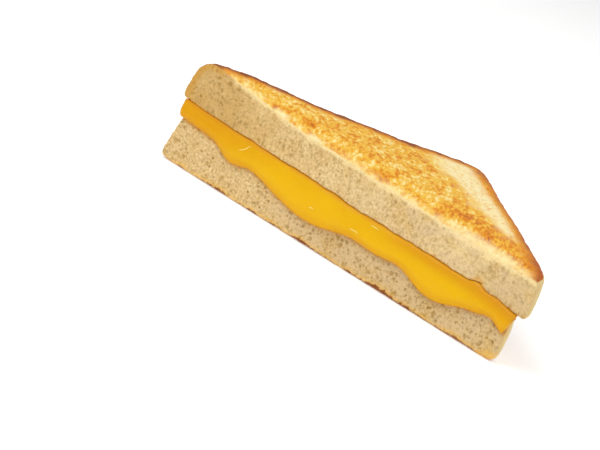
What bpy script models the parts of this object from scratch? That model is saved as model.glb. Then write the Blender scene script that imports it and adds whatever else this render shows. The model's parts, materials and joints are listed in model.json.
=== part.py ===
"""Half of a grilled cheese sandwich, cut from corner to corner.

Two square slices of toasted white bread hold a layer of melted cheese. The knife has run along one
diagonal, so the half is a right-angled triangle lying flat on its lower slice. The cut face looks
along -Y, X runs along the cut from its left end to its right end, and Z is up. The origin is in the
middle of the footprint, on the surface that the half lies on.
"""

import math
from dataclasses import dataclass

import bmesh
import bpy
from mathutils import Vector, noise
from mathutils.geometry import delaunay_2d_cdt

MM = 0.001

# A whole slice is a square. Its corners are round, and so are the two ends of the cut.
SLICE_SIDE = 119 * MM
HALF_DIAGONAL = SLICE_SIDE / math.sqrt(2)

# Heights over the resting face, at the left and the right end of the cut.
TOAST_HEIGHT = (40.9 * MM, 35.9 * MM)
CEILING_HEIGHT = (24.2 * MM, 20.8 * MM)
FLOOR_HEIGHT = (17.5 * MM, 16.7 * MM)

# The upper slice droops over the cheese at the right end.
END_DROOP = 1.5 * MM
END_DROOP_X = (68 * MM, 82 * MM)

# The knife has pressed the toast down along the cut, least at the thick left end.
CUT_DIP = 4.4 * MM
CUT_DIP_REACH = 13 * MM
CUT_DIP_START_X = -80 * MM
CUT_DIP_FULL_X = -20 * MM

# The toasted face sags a little towards the middle of its left crust.
TOAST_SAG = 0.9 * MM
TOAST_SAG_X = -36 * MM
TOAST_SAG_WIDTH = 24 * MM

# Where the extra rounding of the left end starts, and where it is full.
LEFT_END = (-64 * MM, -78 * MM)

# Slow waves in the toasted face and in the two faces that hold the cheese.
TOAST_WAVE = 0.4 * MM
TOAST_WAVE_LENGTH = 26 * MM
INNER_WAVE = 0.5 * MM
INNER_WAVE_LENGTH = 34 * MM

# The crust wall bellies out, and the cut wall is dented where crumb was torn away.
CRUST_BELLY = 0.9 * MM
CUT_DENT = 0.45 * MM
CUT_DENT_LENGTH = 7 * MM

# Touching pieces keep this gap.
GAP = 0.3 * MM

# The hanging edge of the cheese: the middle of each lobe along the cut, its half width and its drop.
CHEESE_LOBES = (
    (-50 * MM, 6.5 * MM, 3.6 * MM),
    (-12 * MM, 26 * MM, 8.0 * MM),
    (20 * MM, 9 * MM, 2.8 * MM),
    (47 * MM, 17 * MM, 8.9 * MM),
    (66 * MM, 6 * MM, 1.6 * MM),
    (78.6 * MM, 6 * MM, 5.8 * MM),
)
CHEESE_FRONT_BULGE = 1.9 * MM
CHEESE_END_FADE = 0.9 * MM

# At the left end the cheese leans out with the slices, most at its upper edge.
CHEESE_LEAN = 2.0 * MM
CHEESE_LEAN_X = (-62 * MM, -76 * MM)

# On the crust sides the cheese stays inside the bread, but for one corner of it on each side.
CHEESE_INSET = 2.4 * MM
CHEESE_RAGGED = 1.1 * MM
CHEESE_PEEK = 4.6 * MM
CHEESE_PEEK_WIDTH = 13 * MM
CHEESE_PEEK_X = (-47 * MM, 36 * MM)
CHEESE_SIDE_BULGE = 1.0 * MM

# Steps of the outline: each rounded end of the cut, each crust side and the square corner.
END_STEPS = 4
SIDE_STEPS = 15
CORNER_STEPS = 6
ROUNDING_ANGLES = tuple(math.radians(a) for a in (0, 30, 60, 90))
FILL_SPACING = 7 * MM
FILL_MARGIN = 4 * MM


@dataclass(frozen=True)
class Slice:
    """One slice of bread: its outline and place, and how each edge is rounded.

    The pairs are values at the left and the right end of the cut. inner_lean is how far the crust
    wall leans in on its way to the cheese, or out where it is negative. left_rounding is added to
    the toasted edge's radius near the left end.
    """

    corner_radius: float
    shift: Vector
    outer_radius: tuple[float, float]
    inner_radius: tuple[float, float]
    inner_lean: tuple[float, float]
    left_rounding: float
    outer_cut_radius: float
    inner_cut_radius: float
    cut_steps: int


TOP = Slice(
    corner_radius=8.0 * MM,
    shift=Vector((1.3 * MM, 1.2 * MM)),
    outer_radius=(5.0 * MM, 2.6 * MM),
    inner_radius=(1.2 * MM, 0.9 * MM),
    inner_lean=(-0.8 * MM, -0.4 * MM),
    left_rounding=2.6 * MM,
    outer_cut_radius=1.0 * MM,
    inner_cut_radius=0.5 * MM,
    cut_steps=40,
)
BOTTOM = Slice(
    corner_radius=12.5 * MM,
    shift=Vector((-0.4 * MM, 0)),
    outer_radius=(1.8 * MM, 3.0 * MM),
    inner_radius=(1.2 * MM, 1.2 * MM),
    inner_lean=(2.6 * MM, 0.4 * MM),
    left_rounding=0,
    outer_cut_radius=0.9 * MM,
    inner_cut_radius=0.5 * MM,
    cut_steps=40,
)
CHEESE_OUTLINE = Slice(
    corner_radius=14.4 * MM,
    shift=Vector((1.45 * MM, 0)),
    outer_radius=(0, 0),
    inner_radius=(0, 0),
    inner_lean=(0, 0),
    left_rounding=0,
    outer_cut_radius=0,
    inner_cut_radius=0,
    cut_steps=72,
)


@dataclass(frozen=True)
class RimPoint:
    """A point of the outline in plan, with the way out of the bread there."""

    place: Vector
    out: Vector
    on_cut: bool


def between(ends, x):
    """The value at x of something that changes evenly from the left to the right end of the cut."""
    share = min(1.0, max(0.0, 0.5 + 0.5 * x / HALF_DIAGONAL))
    return ends[0] + (ends[1] - ends[0]) * share


def smooth(low, high, value):
    """0 below low, 1 above high, and an even S between them."""
    share = min(1.0, max(0.0, (value - low) / (high - low)))
    return share * share * (3 - 2 * share)


def bump(offset, half_width):
    """A soft bump: 1 in the middle, and near 0 at twice the half width."""
    return math.exp(-((offset / half_width) ** 2))


def wave(x, y, length, seed):
    """A slow random wave between about -1 and 1."""
    return 2 * noise.noise(Vector((x / length, y / length, seed)))


def rounded_drop(distance, radius):
    """How far a rounded edge lies under the flat face, at a distance from the wall."""
    if radius <= 0 or distance >= radius:
        return 0.0
    return radius - math.sqrt(radius**2 - (radius - max(distance, 0.0)) ** 2)


def crust_distance(bread, x, y):
    """How far a point in plan lies inside the crust of the whole square slice."""
    x, y = x - bread.shift.x, y - bread.shift.y
    reach = SLICE_SIDE / 2 - bread.corner_radius
    across = abs(x + y) / math.sqrt(2) - reach
    along = abs(y - x) / math.sqrt(2) - reach
    outside = math.hypot(max(across, 0.0), max(along, 0.0))
    return bread.corner_radius - outside - min(max(across, along), 0.0)


def toast_height(x, y):
    """The toasted face of the upper slice."""
    pressed = CUT_DIP * smooth(CUT_DIP_START_X, CUT_DIP_FULL_X, x)
    near_cut = max(0.0, 1 - y / CUT_DIP_REACH) ** 2
    sag = TOAST_SAG * bump(x - TOAST_SAG_X, TOAST_SAG_WIDTH) * smooth(10 * MM, 40 * MM, y)
    lie = TOAST_WAVE * wave(x, y, TOAST_WAVE_LENGTH, 1)
    return between(TOAST_HEIGHT, x) - pressed * near_cut - sag + lie


def ceiling_height(x, y):
    """The lower face of the upper slice, over the cheese."""
    droop = END_DROOP * smooth(*END_DROOP_X, x)
    return between(CEILING_HEIGHT, x) - droop + INNER_WAVE * wave(x, y, INNER_WAVE_LENGTH, 2)


def floor_height(x, y):
    """The upper face of the lower slice, under the cheese."""
    return between(FLOOR_HEIGHT, x) + INNER_WAVE * wave(x, y, INNER_WAVE_LENGTH, 3)


def cheese_top(x, y):
    """The upper face of the cheese."""
    return ceiling_height(x, y) - GAP


def cheese_foot(x, y):
    """The lower face of the cheese."""
    return floor_height(x, y) + GAP


def rim(bread, crust_inset, cut_inset):
    """The outline of the half slice, left to right along the cut and back along the crust.

    crust_inset is a function of x, because the crust edge is rounded more at one end than the other.
    """
    centre = HALF_DIAGONAL - bread.corner_radius * math.sqrt(2)

    def on_crust(middle, angle):
        out = Vector((math.cos(angle), math.sin(angle)))
        at = middle + out * bread.corner_radius
        return RimPoint(at - out * crust_inset(at.x) + bread.shift, out, False)

    def meets_cut(side):
        angle = math.asin(cut_inset / bread.corner_radius)
        end = on_crust(Vector((side * centre, 0)), angle if side > 0 else math.pi - angle)
        return RimPoint(Vector((end.place.x, cut_inset)), Vector((side, 0)), True)

    left, right = meets_cut(-1), meets_cut(1)
    points = [left]
    for i in range(1, bread.cut_steps):
        place = left.place.lerp(right.place, i / bread.cut_steps)
        points.append(RimPoint(place, Vector((0, -1)), True))
    points.append(right)
    quarter = math.pi / 4
    right_middle, left_middle, top_middle = Vector((centre, 0)), Vector((-centre, 0)), Vector((0, centre))
    points += [on_crust(right_middle, quarter * i / END_STEPS) for i in range(1, END_STEPS + 1)]
    for i in range(1, SIDE_STEPS):
        points.append(on_crust(right_middle.lerp(top_middle, i / SIDE_STEPS), quarter))
    for i in range(CORNER_STEPS + 1):
        points.append(on_crust(top_middle, quarter + 2 * quarter * i / CORNER_STEPS))
    for i in range(1, SIDE_STEPS):
        points.append(on_crust(top_middle.lerp(left_middle, i / SIDE_STEPS), 3 * quarter))
    points += [on_crust(left_middle, math.pi - quarter * i / END_STEPS) for i in range(END_STEPS, 0, -1)]
    return points


def fill_points(bread, inset):
    """An even triangular lattice of plan points inside the outline, kept clear of the rim."""
    row_height = FILL_SPACING * math.sqrt(3) / 2
    margin = inset + FILL_MARGIN
    found = []
    for row in range(int(HALF_DIAGONAL / row_height) + 1):
        y = margin + row * row_height
        for column in range(-20, 21):
            x = (column + 0.5 * (row % 2)) * FILL_SPACING
            if crust_distance(bread, x, y) > margin:
                found.append(Vector((x, y)))
    return found


def fill_face(bm, ring, inside, height):
    """Closes the ring of vertices with triangles through the inside points, each set at its height."""
    plan = [v.co.xy for v in ring] + inside
    outline = [list(range(len(ring)))]
    _, _, triangles, _, _, _ = delaunay_2d_cdt(plan, [], outline, 1, 1e-7)
    corners = ring + [bm.verts.new((p.x, p.y, height(p.x, p.y))) for p in inside]
    for triangle in triangles:
        bm.faces.new([corners[i] for i in triangle])


def loft(bm, rings):
    """Joins closed rings of vertices with bands of quads."""
    for upper, lower in zip(rings, rings[1:]):
        for i in range(len(upper)):
            j = (i + 1) % len(upper)
            bm.faces.new((lower[i], lower[j], upper[j], upper[i]))


def material(name, colour, roughness):
    """A Principled material with one colour."""
    made = bpy.data.materials.new(name)
    made.use_nodes = True
    shader = made.node_tree.nodes["Principled BSDF"]
    shader.inputs["Base Color"].default_value = (*colour, 1)
    shader.inputs["Roughness"].default_value = roughness
    shader.inputs["Metallic"].default_value = 0
    return made


def add_solid(name, bm, collection, finish):
    """Turns the mesh into a named object with its faces pointing out."""
    bmesh.ops.recalc_face_normals(bm, faces=bm.faces)
    mesh = bpy.data.meshes.new(name)
    bm.to_mesh(mesh)
    bm.free()
    mesh.materials.append(finish)
    mesh.shade_smooth()
    mesh.set_sharp_from_angle(angle=math.radians(40))
    made = bpy.data.objects.new(name, mesh)
    collection.objects.link(made)
    return made


def bread_slice(name, bread, upper, lower, toast_up, collection, finish):
    """A half slice between two faces, with rounded crust edges and a sharper edge along the cut.

    upper and lower give the height of a face in plan. The toasted face is the upper one with
    toast_up, and otherwise the lower one, which is then one flat polygon that the half rests on.
    """

    def toasted(x):
        radius = between(bread.outer_radius, x) + bread.left_rounding * smooth(*LEFT_END, x)
        return radius, 0.0, bread.outer_cut_radius

    def inner(x):
        return between(bread.inner_radius, x), between(bread.inner_lean, x), bread.inner_cut_radius

    def face_ring(bm, face, edge, direction, angle):
        inward = 1 - math.cos(angle)

        def crust_inset(x):
            radius, lean, _ = edge(x)
            return lean + radius * inward

        cut_radius = edge(0)[2]
        ring = []
        for p in rim(bread, crust_inset, cut_radius * inward):
            x, y = p.place
            radius, lean, _ = edge(x)
            drop = rounded_drop(crust_distance(bread, x, y) - lean, radius) + rounded_drop(y, cut_radius)
            ring.append(bm.verts.new((x, y, face(x, y) - direction * drop)))
        return ring

    def wall_ring(bm, top_ring, low_ring, share):
        ring = []
        for p, high, low in zip(rim(bread, lambda x: 0, 0), top_ring, low_ring):
            at = low.co.lerp(high.co, share)
            if p.on_cut:
                dent = noise.noise(at / CUT_DENT_LENGTH) + 0.5
                at.y += CUT_DENT * min(1.0, max(0.0, dent)) * (p.out.x == 0)
            else:
                at.xy += p.out * CRUST_BELLY * 4 * share * (1 - share) * p.out.y
            ring.append(bm.verts.new(at))
        return ring

    upper_edge, lower_edge = (toasted, inner) if toast_up else (inner, toasted)
    bm = bmesh.new()
    tops = [face_ring(bm, upper, upper_edge, 1, angle) for angle in reversed(ROUNDING_ANGLES)]
    feet = [face_ring(bm, lower, lower_edge, -1, angle) for angle in ROUNDING_ANGLES]
    walls = [wall_ring(bm, tops[-1], feet[0], share) for share in (0.75, 0.5, 0.25)]
    loft(bm, tops + walls + feet)
    fill_face(bm, tops[0], fill_points(bread, sum(upper_edge(0)[:2])), upper)
    if toast_up:
        fill_face(bm, feet[-1], fill_points(bread, sum(lower_edge(0)[:2])), lower)
    else:
        bm.faces.new(feet[-1])
    return add_solid(name, bm, collection, finish)


def cheese_drop(x, ends):
    """How far the cheese hangs over the edge of the lower slice, at x along the cut."""
    hang = sum(drop * bump(x - middle, width) for middle, width, drop in CHEESE_LOBES)
    return hang * smooth(0, CHEESE_END_FADE, min(x - ends[0], ends[1] - x))


def cheese_side_inset(x, y):
    """How far the edge of the cheese lies inside the crust. Under zero it sticks out."""
    peek = sum(bump(x - middle, CHEESE_PEEK_WIDTH / 2) for middle in CHEESE_PEEK_X)
    return CHEESE_INSET + CHEESE_RAGGED * wave(x, y, 11 * MM, 4) - CHEESE_PEEK * peek


def lean_out(columns):
    """Leans the left end of the cheese outward, fully at the top of each column and not at its foot."""
    for column in columns:
        for k, point in enumerate(column):
            height_share = 1 - k / (len(column) - 1)
            point.x -= CHEESE_LEAN * smooth(*CHEESE_LEAN_X, point.x) * height_share


def cheese_layer(name, collection, finish):
    """The melted layer: a slab between the slices whose front edge swells out and hangs in lobes."""
    outline = rim(CHEESE_OUTLINE, lambda x: 0, 0)
    ends = (outline[0].place.x, outline[CHEESE_OUTLINE.cut_steps].place.x)
    bm = bmesh.new()

    def front_section(x):
        """(forward, height) pairs from under the upper slice, over the swelling and back to the lower one."""
        top = cheese_top(x, 0)
        foot = cheese_foot(x, 0)
        drop = cheese_drop(x, ends)
        tip = foot - drop
        depth = top - tip
        swell = CHEESE_FRONT_BULGE * (0.75 + 0.25 * smooth(0, 6 * MM, drop))
        return (
            (-0.6 * MM, top),
            (0.12 * swell, top - 0.05 * depth),
            (0.55 * swell, top - 0.3 * depth),
            (0.88 * swell, top - 0.55 * depth),
            (swell, top - 0.8 * depth),
            (0.65 * swell, tip),
            (0.4 * MM, tip + 0.1 * drop),
            (0.32 * MM, foot),
            (-1.6 * MM, foot),
        )

    def side_section(x, y):
        """(outward, height) pairs round the plain edge of the slab."""
        top = cheese_top(x, y)
        foot = cheese_foot(x, y)
        shares = [i / 8 for i in range(9)]
        return tuple(
            (CHEESE_SIDE_BULGE * math.sin(math.pi * s) - 0.6 * MM, top + (foot - top) * s) for s in shares
        )

    columns = []
    for p in outline:
        x, y = p.place
        if p.on_cut:
            section = front_section(x)
            side = Vector((p.out.x, 0)) * -0.4 * MM
            columns.append([Vector((x + side.x, -forward, z)) for forward, z in section])
        else:
            inset = cheese_side_inset(x, y) * smooth(0, 5 * MM, y)
            at = p.place - p.out * inset
            section = side_section(*at)
            columns.append([Vector((*(at + p.out * out), z)) for out, z in section])
    lean_out(columns)
    rings = [[bm.verts.new(column[k]) for column in columns] for k in range(len(columns[0]))]
    loft(bm, rings)
    inside = fill_points(CHEESE_OUTLINE, CHEESE_INSET)
    fill_face(bm, rings[0], inside, cheese_top)
    fill_face(bm, rings[-1], inside, cheese_foot)
    return add_solid(name, bm, collection, finish)


def centre_on_foot(objects):
    """Moves the meshes so that the origin is the middle of their bounding box, at its lowest level."""
    corners = [v.co for o in objects for v in o.data.vertices]
    low = Vector(map(min, zip(*corners)))
    high = Vector(map(max, zip(*corners)))
    middle = (low + high) / 2
    for o in objects:
        for v in o.data.vertices:
            v.co -= Vector((middle.x, middle.y, low.z))


def main():
    """Clears the scene and builds the half sandwich from the foot up."""
    for old in list(bpy.data.objects):
        bpy.data.objects.remove(old)
    sandwich = bpy.data.collections.new("grilled_cheese_half")
    bpy.context.scene.collection.children.link(sandwich)
    toast = material("toasted_bread", (0.80, 0.52, 0.20), 0.75)
    melted = material("melted_cheese", (0.90, 0.50, 0.02), 0.35)

    parts = [
        bread_slice("bread_bottom", BOTTOM, floor_height, lambda x, y: 0.0, False, sandwich, toast),
        cheese_layer("cheese", sandwich, melted),
        bread_slice("bread_top", TOP, toast_height, ceiling_height, True, sandwich, toast),
    ]
    centre_on_foot(parts)


main()
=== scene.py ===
"""Dresses half of a grilled cheese sandwich for its picture.

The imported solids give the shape. The two slices of bread get an open crumb on the cut face, a
browned and blistered toast face and a crust. The cheese gets its melted gloss. Lengths inside the
patterns are in millimetres, and everything that Blender places is in metres.
"""

from __future__ import annotations

import json
import logging
import math
from dataclasses import dataclass, field
from enum import Enum
from typing import Any, Mapping, Optional, Union

import bmesh
import bpy
from bpy.types import Material, Node, NodeSocket, NodeTree, Object
from mathutils import Matrix, Vector
from mathutils.bvhtree import BVHTree

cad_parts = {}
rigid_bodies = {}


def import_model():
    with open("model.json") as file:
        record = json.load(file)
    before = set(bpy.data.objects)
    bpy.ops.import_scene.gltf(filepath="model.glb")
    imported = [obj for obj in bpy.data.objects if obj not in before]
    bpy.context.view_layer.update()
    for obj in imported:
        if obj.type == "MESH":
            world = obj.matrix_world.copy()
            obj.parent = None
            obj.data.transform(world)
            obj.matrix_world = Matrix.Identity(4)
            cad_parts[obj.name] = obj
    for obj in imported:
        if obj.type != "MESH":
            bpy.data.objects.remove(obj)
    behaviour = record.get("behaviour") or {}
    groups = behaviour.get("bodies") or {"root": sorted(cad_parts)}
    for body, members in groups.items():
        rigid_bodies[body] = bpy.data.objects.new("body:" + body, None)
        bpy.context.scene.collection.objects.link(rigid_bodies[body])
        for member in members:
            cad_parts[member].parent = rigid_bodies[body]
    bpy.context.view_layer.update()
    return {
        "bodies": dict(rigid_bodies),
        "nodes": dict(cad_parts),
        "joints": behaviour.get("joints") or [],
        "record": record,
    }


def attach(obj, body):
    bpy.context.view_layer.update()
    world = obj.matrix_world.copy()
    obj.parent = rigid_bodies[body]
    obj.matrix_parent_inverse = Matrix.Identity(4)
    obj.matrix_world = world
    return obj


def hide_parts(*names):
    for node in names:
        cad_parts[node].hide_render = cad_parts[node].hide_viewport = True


log = logging.getLogger("sandwich")

MM = 0.001
MM_PER_METRE = 1000.0
CUT_PLANE_Y = -40.67
PORE_STEP = 2.1
WELD_DISTANCE = 0.01 * MM
FLAT_ANGLE = math.radians(12)
SHAPE_ANGLE = math.radians(50)
SHARP_ANGLE = math.radians(45)
CREASE = 0.8
ROUNDING_LEVELS = 2

Colour = tuple[float, float, float, float]
Input = Union["Value", NodeSocket, float, int, bool, str, tuple]
Inputs = Optional[Mapping[Union[str, int], Input]]
Settings = Optional[Mapping[str, Any]]


def tint(red: int, green: int, blue: int) -> Colour:
    """Turns a screen colour into the linear colour that shaders take.

    Args:
        red: Red from 0 to 255.
        green: Green from 0 to 255.
        blue: Blue from 0 to 255.

    Returns:
        The linear colour, opaque.
    """

    def linear(channel: int) -> float:
        """Undoes the screen's curve for one channel."""
        share = channel / 255
        if share <= 0.04045:
            return share / 12.92
        return ((share + 0.055) / 1.055) ** 2.4

    return (linear(red), linear(green), linear(blue), 1.0)


class Side(Enum):
    """Which way a slice's toasted face looks."""

    UPPER = 1
    LOWER = -1


class Value:
    """A node's output, on which Python's arithmetic adds Math nodes."""

    def __init__(self, graph: Graph, socket: NodeSocket) -> None:
        """Keeps the socket and the graph that it belongs to."""
        self.graph = graph
        self.socket = socket

    def __add__(self, other: Input) -> Value:
        """Adds, whichever comes first."""
        return self.graph.math("ADD", self, other)

    __radd__ = __add__

    def __sub__(self, other: Input) -> Value:
        """Subtracts."""
        return self.graph.math("SUBTRACT", self, other)

    def __rsub__(self, other: Input) -> Value:
        """Subtracts from a number."""
        return self.graph.math("SUBTRACT", other, self)

    def __mul__(self, other: Input) -> Value:
        """Multiplies, whichever comes first."""
        return self.graph.math("MULTIPLY", self, other)

    __rmul__ = __mul__

    def __neg__(self) -> Value:
        """Turns the sign."""
        return self.graph.math("MULTIPLY", self, -1.0)

    def __abs__(self) -> Value:
        """Drops the sign."""
        return self.graph.math("ABSOLUTE", self)


class Graph:
    """A node tree, shader or geometry, that is written as expressions."""

    def __init__(self, tree: NodeTree) -> None:
        """Keeps the tree."""
        self.tree = tree

    def node(self, kind: str, settings: Settings = None, inputs: Inputs = None) -> Node:
        """Adds a node.

        Args:
            kind: Blender's name for the node type.
            settings: The node's own properties, set first.
            inputs: Values or links by socket name or index.

        Returns:
            The new node.
        """
        made = self.tree.nodes.new(kind)
        for key, setting in (settings or {}).items():
            setattr(made, key, setting)
        return self.feed(made, inputs)

    def feed(self, node: Node, inputs: Inputs) -> Node:
        """Links or sets a node's inputs.

        Args:
            node: The node.
            inputs: Values or sockets to link, or constants to set, by socket name or index.

        Returns:
            The same node.
        """
        for key, value in (inputs or {}).items():
            socket = node.inputs[key]
            if isinstance(value, Value):
                self.tree.links.new(value.socket, socket)
            elif isinstance(value, NodeSocket):
                self.tree.links.new(value, socket)
            else:
                socket.default_value = value
        return node

    def value(
        self, kind: str, settings: Settings = None, inputs: Inputs = None, output: str | int = 0
    ) -> Value:
        """Adds a node and returns one of its outputs.

        Args:
            kind: Blender's name for the node type.
            settings: The node's own properties, set first.
            inputs: Values or links by socket name or index.
            output: The output's name or index.

        Returns:
            The output as a value.
        """
        return Value(self, self.node(kind, settings, inputs).outputs[output])

    def math(self, operation: str, *terms: Input) -> Value:
        """Adds a Math node on one, two or three terms."""
        return self.value("ShaderNodeMath", {"operation": operation}, dict(enumerate(terms)))

    def blend(self, amount: Input, low: Input, high: Input) -> Value:
        """Mixes two colours.

        Args:
            amount: 0 for the first colour and 1 for the second.
            low: The first colour.
            high: The second colour.

        Returns:
            The mixed colour.
        """
        return self.value("ShaderNodeMix", {"data_type": "RGBA"}, {0: amount, 6: low, 7: high}, 2)

    def vector(self, operation: str, first: Input, second: Input) -> Value:
        """Adds a Vector Math node on two vectors, or on a vector and a scale."""
        slot = 3 if operation == "SCALE" else 1
        return self.value("ShaderNodeVectorMath", {"operation": operation}, {0: first, slot: second})

    def xyz(self, x: Input = 0.0, y: Input = 0.0, z: Input = 0.0) -> Value:
        """A vector from its X, Y and Z."""
        return self.value("ShaderNodeCombineXYZ", None, {0: x, 1: y, 2: z})


def least(first: Value, second: Input) -> Value:
    """The smaller of two numbers."""
    return first.graph.math("MINIMUM", first, second)


def most(first: Value, second: Input) -> Value:
    """The larger of two numbers."""
    return first.graph.math("MAXIMUM", first, second)


def clamp(number: Value) -> Value:
    """Keeps a number between 0 and 1."""
    return least(most(number, 0.0), 1.0)


def smooth(low: Input, high: Input, number: Value) -> Value:
    """Goes evenly from 0 at low to 1 at high. With low over high it falls instead."""
    ends = {0: number, 1: low, 2: high, 3: 0.0, 4: 1.0}
    return number.graph.value("ShaderNodeMapRange", {"interpolation_type": "SMOOTHSTEP"}, ends)


def parts(vector: Value) -> tuple[Value, Value, Value]:
    """The X, Y and Z of a vector."""
    node = vector.graph.node("ShaderNodeSeparateXYZ", None, {0: vector})
    return tuple(Value(vector.graph, out) for out in node.outputs)


def noise(
    place: Value, size: float, detail: float = 2.0, roughness: float = 0.5, shift: float = 0.0
) -> Value:
    """Cloudy noise around 0.5.

    Args:
        place: Where, in millimetres.
        size: The size of its largest clouds, in millimetres.
        detail: How many finer layers it has.
        roughness: How strong the finer layers are.
        shift: Moves the pattern, for another one like it.

    Returns:
        The noise.
    """
    moved = place.graph.vector("ADD", place, (shift, 1.7 * shift, -shift))
    inputs = {"Vector": moved, "Scale": 1 / size, "Detail": detail, "Roughness": roughness}
    return place.graph.value("ShaderNodeTexNoise", None, inputs)


def stretched(place: Value, x: float, y: float, z: float) -> Value:
    """A place whose patterns are stretched by these factors along each axis."""
    return place.graph.vector("MULTIPLY", place, (1 / x, 1 / y, 1 / z))


def turned(place: Value, degrees: float, stretch: float) -> Value:
    """A place turned about Z, whose patterns are then stretched away from the viewer.

    Args:
        place: Where, in millimetres.
        degrees: The turn.
        stretch: How much longer the patterns are along the turned Y axis.

    Returns:
        The new place.
    """
    turn = math.radians(degrees)
    x, y, z = parts(place)
    across = math.cos(turn) * x + math.sin(turn) * y
    away = (math.cos(turn) * y - math.sin(turn) * x) * (1 / stretch)
    return place.graph.xyz(across, away, z)


def pores(place: Value, size: float, fill: float, shift: float = 0.0) -> Value:
    """Round-edged holes of mixed sizes.

    Args:
        place: Where, in millimetres.
        size: The distance from hole to hole, in millimetres.
        fill: How much of that distance the largest holes take.
        shift: Moves the pattern, for another one like it.

    Returns:
        1 inside a hole and 0 on the wall between holes.
    """
    graph = place.graph
    coarse = {"Vector": place, "Scale": 1 / (1.6 * size), "Detail": 1.0}
    wobble = graph.value("ShaderNodeTexNoise", None, coarse, "Color")
    bent = graph.vector("ADD", place, graph.vector("SCALE", wobble, 0.9 * size))
    moved = graph.vector("ADD", bent, (shift, -shift, 2.3 * shift))
    cells = graph.node("ShaderNodeTexVoronoi", None, {"Vector": moved, "Scale": 1 / size})
    chance = parts(Value(graph, cells.outputs["Color"]))[0]
    radius = 0.1 + (fill - 0.1) * chance
    return smooth(radius, 0.45 * radius, Value(graph, cells.outputs["Distance"]))


def crumb_pores(place: Value) -> tuple[Value, Value]:
    """The pores that the knife has opened, which run on into the slice. Relief and colour share them; the
    colour paints shade into them.

    Args:
        place: Where, in millimetres.

    Returns:
        The larger and the smaller pores.
    """
    tunnels = stretched(place, 1.0, 5.0, 1.0)
    return pores(tunnels, PORE_STEP, 0.60), pores(tunnels, 1.3, 0.58, 11.0)


def cheese_slide(place: Value) -> tuple[Value, Value]:
    """How far the melted cheese has slid down the cut, and the bread's edge with it.

    Args:
        place: Where, in millimetres.

    Returns:
        The slide of the whole front, and what its upper edge adds, both in millimetres.
    """
    x, _, _ = parts(place)
    slid = smooth(34.0, 20.0, x)
    inside = smooth(-82.0, -64.0, x)
    along = stretched(place, 1.0, 40.0, 40.0)
    wander = 2.4 * (noise(along, 9.0, 2.0, 0.5, 49.0) - 0.5)
    notch = smooth(4.0, 0.5, abs(x - 60.0))
    return 0.9 * slid * inside, (0.6 * (1.0 - 1.3 * slid + wander) - 1.1 * notch) * inside


def new_material(name: str) -> tuple[Material, Graph, Node]:
    """Starts a material.

    Args:
        name: Its name.

    Returns:
        The material, its graph and its Principled node.
    """
    made = bpy.data.materials.new(name)
    made.use_nodes = True
    return made, Graph(made.node_tree), made.node_tree.nodes["Principled BSDF"]


def place_in_mm(graph: Graph) -> Value:
    """Object coordinates in millimetres."""
    place = graph.value("ShaderNodeTexCoord", None, None, "Object")
    return graph.vector("SCALE", place, MM_PER_METRE)


def point_in_mm(graph: Graph) -> Value:
    """The places of a mesh's points in millimetres, for a geometry tree."""
    return graph.vector("SCALE", graph.value("GeometryNodeInputPosition"), MM_PER_METRE)


def attribute(graph: Graph, name: str) -> Value:
    """A number that the mesh carries at each point."""
    return graph.value("ShaderNodeAttribute", {"attribute_name": name}, None, "Fac")


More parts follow.
